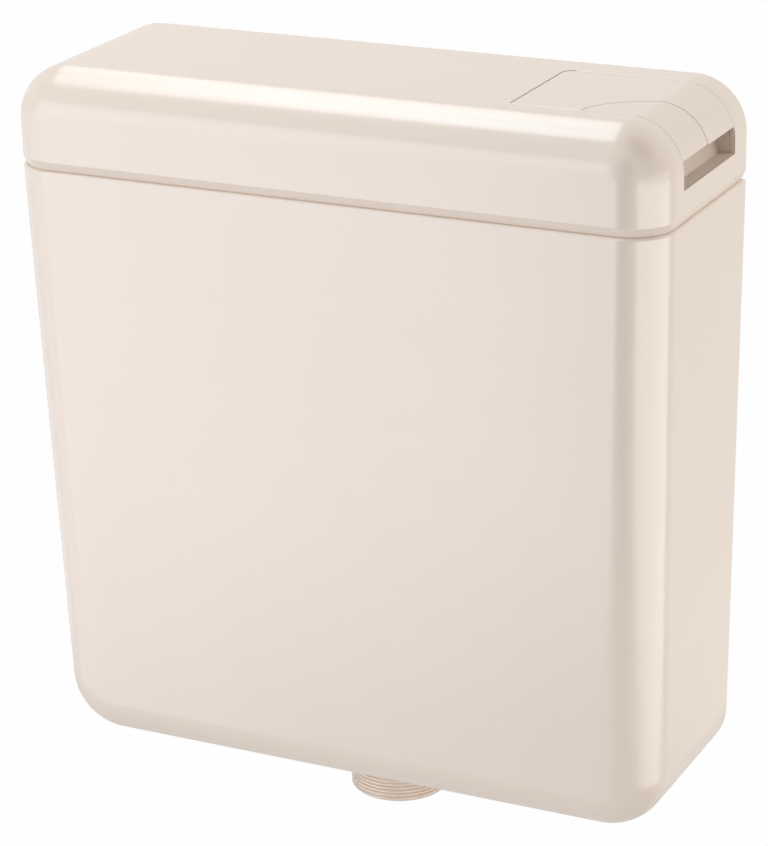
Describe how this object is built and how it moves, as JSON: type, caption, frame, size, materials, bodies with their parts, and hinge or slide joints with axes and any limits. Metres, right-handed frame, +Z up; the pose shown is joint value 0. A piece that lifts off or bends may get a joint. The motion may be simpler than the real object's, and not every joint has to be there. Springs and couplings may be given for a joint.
{
  "type": "toilet cistern",
  "caption": "Slim wall-hung plastic toilet cistern with rounded lift-off lid, dual-flush keys wrapped over a top corner, finger slot and threaded flush outlet below.",
  "frame": {"origin": "on the axis of the flush outlet, at the lower end of its threaded spigot", "axes": "+Z up, +Y towards the wall, +X to the side with the push keys, seen from the front on the right"},
  "size_m": [0.4, 0.131, 0.449],
  "materials": {
    "ivory_plastic": "glossy moulded ABS",
    "foam": "expanded foam sheet",
    "black_rubber": "matte rubber",
    "blue_plastic": "satin moulded",
    "white_plastic": "satin moulded",
    "grey_plastic": "satin moulded",
    "carrier_plastic": "satin moulded",
    "steel": "drawn stainless",
    "brass": "turned"
  },
  "bodies": {
    "tank": {"tank": "ivory_plastic", "foam_liner": "foam", "outlet_spigot": "ivory_plastic", "spigot_seal": "black_rubber", "valve_basket": "blue_plastic", "mechanism_bridge": "grey_plastic", "bridge_screws": "steel", "lever_pin": "steel", "fill_valve_body": "white_plastic", "fill_valve_clip": "grey_plastic", "union_nut": "brass", "union_washer": "black_rubber", "inlet_strainer": "blue_plastic", "hush_tube": "white_plastic", "float_arm_pin": "steel"},
    "flush_valve": {"overflow_tube": "white_plastic", "valve_seal": "black_rubber", "seal_retainer": "grey_plastic", "full_flush_float": "white_plastic", "lift_yoke": "grey_plastic"},
    "part_flush_slider": {"part_flush_rod": "grey_plastic", "part_flush_float": "white_plastic"},
    "full_lever": {"full_flush_lever": "white_plastic"},
    "part_lever": {"part_flush_lever": "blue_plastic"},
    "float_assembly": {"float_arm": "grey_plastic", "float_screw": "blue_plastic", "float": "white_plastic"},
    "plunger": {"fill_plunger": "grey_plastic", "plunger_seal": "black_rubber"},
    "lid": {"lid": "ivory_plastic", "key_carrier": "carrier_plastic", "carrier_screws": "steel", "full_key_pin": "steel", "part_key_pin": "steel", "full_key_spring": "steel", "part_key_spring": "steel"},
    "full_key": {"full_flush_key": "ivory_plastic"},
    "part_key": {"part_flush_key": "ivory_plastic"}
  },
  "joints": [
    {"name": "lid_lift", "type": "slide", "parent": "tank", "child": "lid", "axis": [0, 0, 1], "range_m": [0, 0.12]},
    {"name": "full_key_press", "type": "hinge", "parent": "lid", "child": "full_key", "pos_m": [0.1045, 0, 0.44], "axis": [0, 1, 0], "range_deg": [0, 6], "stiffness_Nm_per_rad": 0.6, "springref_deg": -11.46, "deforming": ["full_key_spring"]},
    {"name": "part_key_press", "type": "hinge", "parent": "lid", "child": "part_key", "pos_m": [0.146, 0, 0.436], "axis": [0, 1, 0], "range_deg": [0, 10], "stiffness_Nm_per_rad": 0.3, "springref_deg": -14.32, "deforming": ["part_key_spring"]},
    {"name": "full_lever_rock", "type": "hinge", "parent": "tank", "child": "full_lever", "pos_m": [0.125, 0, 0.3955], "axis": [0, 1, 0], "range_deg": [0, 10.3]},
    {"name": "part_lever_rock", "type": "hinge", "parent": "tank", "child": "part_lever", "pos_m": [0.125, 0, 0.3955], "axis": [0, 1, 0], "range_deg": [0, 5.1]},
    {"name": "flush_valve_lift", "type": "slide", "parent": "tank", "child": "flush_valve", "axis": [0, 0, 1], "range_m": [0, 0.0235]},
    {"name": "part_slider_lift", "type": "slide", "parent": "tank", "child": "part_flush_slider", "axis": [0, 0, 1], "range_m": [0, 0.012]},
    {"name": "float_swing", "type": "hinge", "parent": "tank", "child": "float_assembly", "pos_m": [-0.11, 0, 0.3495], "axis": [0, 1, 0], "range_deg": [0, 20]},
    {"name": "plunger_slide", "type": "slide", "parent": "tank", "child": "plunger", "axis": [1, 0, 0], "range_m": [0, 0.0026]}
  ],
  "couplings": [
    {"joint": "full_lever_rock", "follows": "full_key_press", "ratio": 1.7},
    {"joint": "flush_valve_lift", "follows": "full_key_press", "m_per_rad": 0.221},
    {"joint": "part_lever_rock", "follows": "part_key_press", "ratio": 0.5},
    {"joint": "part_slider_lift", "follows": "part_key_press", "m_per_rad": 0.065},
    {"joint": "plunger_slide", "follows": "float_swing", "m_per_rad": 0.0073}
  ]
}
